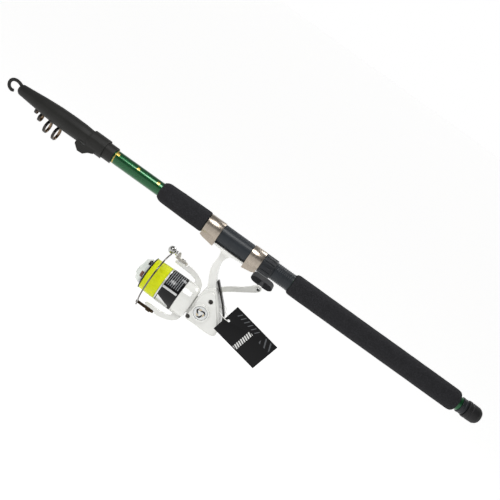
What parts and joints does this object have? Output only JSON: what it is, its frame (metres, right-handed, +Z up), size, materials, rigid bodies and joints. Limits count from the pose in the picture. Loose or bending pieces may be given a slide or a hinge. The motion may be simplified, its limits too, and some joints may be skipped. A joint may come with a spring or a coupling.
{
  "type": "telescopic fishing rod with spinning reel",
  "caption": "Closed telescopic fishing rod with foam grips, a hooked tip cap and a front-drag spinning reel clamped under its screw-lock seat, with line and a hang tag.",
  "frame": {"origin": "on the rod's axis over the reel's leg, where the hand holds it", "axes": "+X along the rod towards its butt, +Z up and away from the reel, +Y towards the crank's side"},
  "size_m": [0.6657, 0.1208, 0.1443],
  "materials": {
    "green_blank": "metallic green lacquer over a glass fibre tube",
    "dark_blank": "dark lacquered tube",
    "guide_metal": "black coated wire and plate",
    "guide_ceramic": "polished ring",
    "cap_plastic": "satin black moulding",
    "grip_foam": "fine-grained black foam",
    "seat_plastic": "graphite grey moulding",
    "hood_steel": "polished stainless steel",
    "butt_rubber": "smooth black rubber",
    "white_body": "gloss white moulding",
    "dark_screw": "blackened steel",
    "bright_metal": "bright plated steel",
    "gear_brass": "machined brass",
    "spool_black": "gloss black with a silver band",
    "yellow_line": "wound fluorescent yellow line",
    "knob_black": "soft black moulding",
    "tag_card": "printed black card",
    "tie_nylon": "white nylon"
  },
  "bodies": {
    "rod_and_reel": {"butt_section": "green_blank", "foregrip": "grip_foam", "seat_barrel": "seat_plastic", "fixed_hood": "hood_steel", "lower_grip": "grip_foam", "butt_ferrule": "seat_plastic", "gearbox_housing": "white_body", "side_cover": "white_body", "cover_screw_1": "dark_screw", "cover_screw_2": "dark_screw", "handle_hole_cap": "bright_metal", "rear_guard": "bright_metal", "crank_bearing_left": "bright_metal", "crank_bearing_right": "bright_metal", "pinion_bearing": "bright_metal", "one_way_clutch": "bright_metal", "tag_tie": "tie_nylon"},
    "section_2": {"section_2": "dark_blank", "guide_2_frame": "guide_metal", "guide_2_ring": "guide_ceramic"},
    "section_3": {"section_3": "dark_blank", "guide_3_frame": "guide_metal", "guide_3_ring": "guide_ceramic"},
    "section_4": {"section_4": "dark_blank", "guide_4_frame": "guide_metal", "guide_4_ring": "guide_ceramic"},
    "section_5": {"section_5": "dark_blank", "guide_5_frame": "guide_metal", "guide_5_ring": "guide_ceramic"},
    "tip_section": {"tip_section": "dark_blank", "tip_top": "guide_metal"},
    "tip_cap": {"tip_cap": "cap_plastic", "cap_lock_ring": "cap_plastic"},
    "sliding_hood": {"sliding_hood": "hood_steel"},
    "locking_nut": {"locking_nut": "seat_plastic"},
    "butt_cap": {"butt_cap": "butt_rubber"},
    "crank": {"crank_arm": "white_body", "drive_gear": "gear_brass", "knob_pin": "bright_metal"},
    "knob": {"knob": "knob_black"},
    "oscillation_gear": {"oscillation_gear": "gear_brass"},
    "main_shaft": {"main_shaft": "bright_metal", "crosswind_slider": "gear_brass"},
    "spool": {"spool": "spool_black", "line_winding": "yellow_line", "drag_washers": "gear_brass"},
    "drag_knob": {"drag_knob": "white_body"},
    "rotor": {"rotor": "white_body", "rotor_nut": "gear_brass", "pinion": "gear_brass", "bail_screw_upper": "bright_metal", "bail_screw_lower": "bright_metal"},
    "bail": {"bail_lever": "bright_metal", "bail_counter_lever": "dark_screw", "bail_wire": "bright_metal"},
    "line_roller": {"line_roller": "bright_metal"},
    "anti_reverse_lever": {"anti_reverse_lever": "dark_screw"},
    "hang_tag": {"hang_tag": "tag_card"}
  },
  "joints": [
    {"name": "section_2_slide", "type": "slide", "parent": "rod_and_reel", "child": "section_2", "axis": [-1, 0, 0], "range_m": [0, 0.4]},
    {"name": "section_3_slide", "type": "slide", "parent": "section_2", "child": "section_3", "axis": [-1, 0, 0], "range_m": [0, 0.42]},
    {"name": "section_4_slide", "type": "slide", "parent": "section_3", "child": "section_4", "axis": [-1, 0, 0], "range_m": [0, 0.43]},
    {"name": "section_5_slide", "type": "slide", "parent": "section_4", "child": "section_5", "axis": [-1, 0, 0], "range_m": [0, 0.44]},
    {"name": "tip_slide", "type": "slide", "parent": "section_5", "child": "tip_section", "axis": [-1, 0, 0], "range_m": [0, 0.45]},
    {"name": "cap_slide", "type": "slide", "parent": "tip_section", "child": "tip_cap", "axis": [-1, 0, 0], "range_m": [0, 0.125]},
    {"name": "nut_spin", "type": "hinge", "parent": "sliding_hood", "child": "locking_nut", "pos_m": [0.047, 0, 0], "axis": [1, 0, 0], "range_deg": [0, 2160]},
    {"name": "hood_slide", "type": "slide", "parent": "rod_and_reel", "child": "sliding_hood", "axis": [1, 0, 0], "range_m": [0, 0.0091]},
    {"name": "butt_cap_spin", "type": "hinge", "parent": "rod_and_reel", "child": "butt_cap", "pos_m": [0.336, 0, 0], "axis": [1, 0, 0], "range_deg": [0, 1080]},
    {"name": "crank_turn", "type": "hinge", "parent": "rod_and_reel", "child": "crank", "pos_m": [0.0154, 0.02, -0.0913], "axis": [0, 1, 0], "continuous": true},
    {"name": "knob_spin", "type": "hinge", "parent": "crank", "child": "knob", "pos_m": [0.0556, 0.055, -0.046], "axis": [0, 1, 0], "continuous": true},
    {"name": "oscillation_spin", "type": "hinge", "parent": "rod_and_reel", "child": "oscillation_gear", "pos_m": [0.0277, 0.0054, -0.089], "axis": [0, 1, 0], "continuous": true},
    {"name": "rotor_spin", "type": "hinge", "parent": "rod_and_reel", "child": "rotor", "pos_m": [-0.02, 0, -0.0955], "axis": [1, 0, 0], "continuous": true},
    {"name": "shaft_slide", "type": "slide", "parent": "rod_and_reel", "child": "main_shaft", "axis": [-1, 0, 0], "range_m": [0, 0.0088]},
    {"name": "spool_spin", "type": "hinge", "parent": "main_shaft", "child": "spool", "pos_m": [-0.04, 0, -0.0955], "axis": [1, 0, 0], "continuous": true},
    {"name": "drag_knob_turn", "type": "hinge", "parent": "main_shaft", "child": "drag_knob", "pos_m": [-0.07, 0, -0.0955], "axis": [1, 0, 0], "range_deg": [-720, 360]},
    {"name": "bail_hinge", "type": "hinge", "parent": "rotor", "child": "bail", "pos_m": [-0.038, 0, -0.0955], "axis": [0, -0.4384, -0.8988], "range_deg": [0, 100]},
    {"name": "line_roller_spin", "type": "hinge", "parent": "bail", "child": "line_roller", "pos_m": [-0.05, 0.0171, -0.06045], "axis": [1, 0, 0], "continuous": true},
    {"name": "anti_reverse_turn", "type": "hinge", "parent": "rod_and_reel", "child": "anti_reverse_lever", "pos_m": [0.023, 0, -0.111], "axis": [0, 0, 1], "range_deg": [0, 25]},
    {"name": "tag_swing", "type": "hinge", "parent": "rod_and_reel", "child": "hang_tag", "pos_m": [0.0472, -0.02, -0.0756], "axis": [0, 1, 0], "range_deg": [-25, 25]}
  ],
  "couplings": [
    {"joint": "hood_slide", "follows": "nut_spin", "m_per_rad": 0.00023873},
    {"joint": "rotor_spin", "follows": "crank_turn", "ratio": 5},
    {"joint": "oscillation_spin", "follows": "crank_turn", "ratio": -0.70588}
  ]
}
